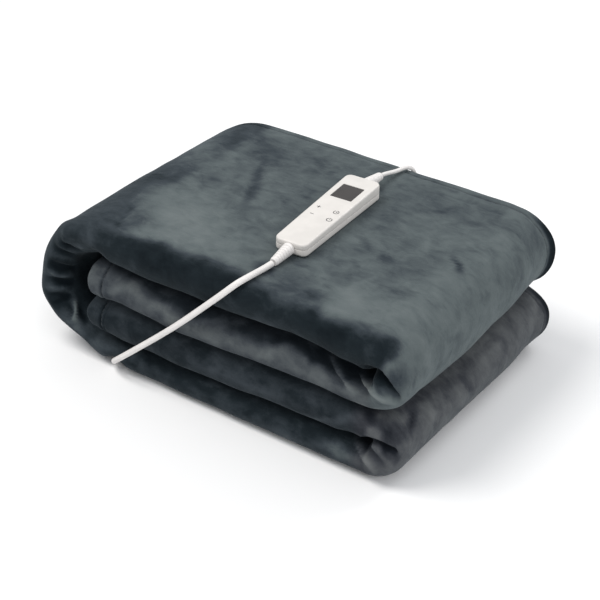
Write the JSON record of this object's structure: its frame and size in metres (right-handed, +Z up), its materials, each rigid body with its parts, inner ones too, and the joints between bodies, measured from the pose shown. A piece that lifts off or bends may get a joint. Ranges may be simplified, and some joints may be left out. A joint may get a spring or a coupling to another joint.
{
  "type": "electric heated blanket",
  "caption": "Folded plush heated throw with hems at the back, a hand controller with display lying on top, ribbed reliefs, mains lead with plug, and blanket lead.",
  "frame": {"origin": "On the resting surface, under the middle of the folded stack's own box, without the leads.", "axes": "+X along the long side, from the wide left fold to the two right folds; +Y along the folds, from the rounded front to the hems at the back; +Z up."},
  "size_m": [0.4168, 0.4101, 0.1675],
  "materials": {
    "plush": "brushed plush pile in slate blue-grey, mottled where the nap lies differently",
    "housing": "warm white, fine satin",
    "soft_plastic": "warm white soft plastic, satin",
    "lead_jacket": "warm white smooth jacket, satin",
    "display": "dark brown-grey window, glossy",
    "tie_band": "plain white hook-and-loop band",
    "pin_metal": "nickelled, bright"
  },
  "bodies": {
    "root": {"blanket": "plush", "controller_base": "housing", "controller_cover": "housing", "display_window": "display", "relief_front": "soft_plastic", "relief_back": "soft_plastic", "mains_lead": "lead_jacket", "mains_lead_coil": "lead_jacket", "coil_tie": "tie_band", "mains_lead_tail": "lead_jacket", "plug_relief": "soft_plastic", "plug_body": "soft_plastic", "plug_pin_left": "pin_metal", "plug_pin_right": "pin_metal", "blanket_lead": "lead_jacket", "joiner_relief": "soft_plastic", "blanket_joiner": "housing"}
  },
  "joints": []
}
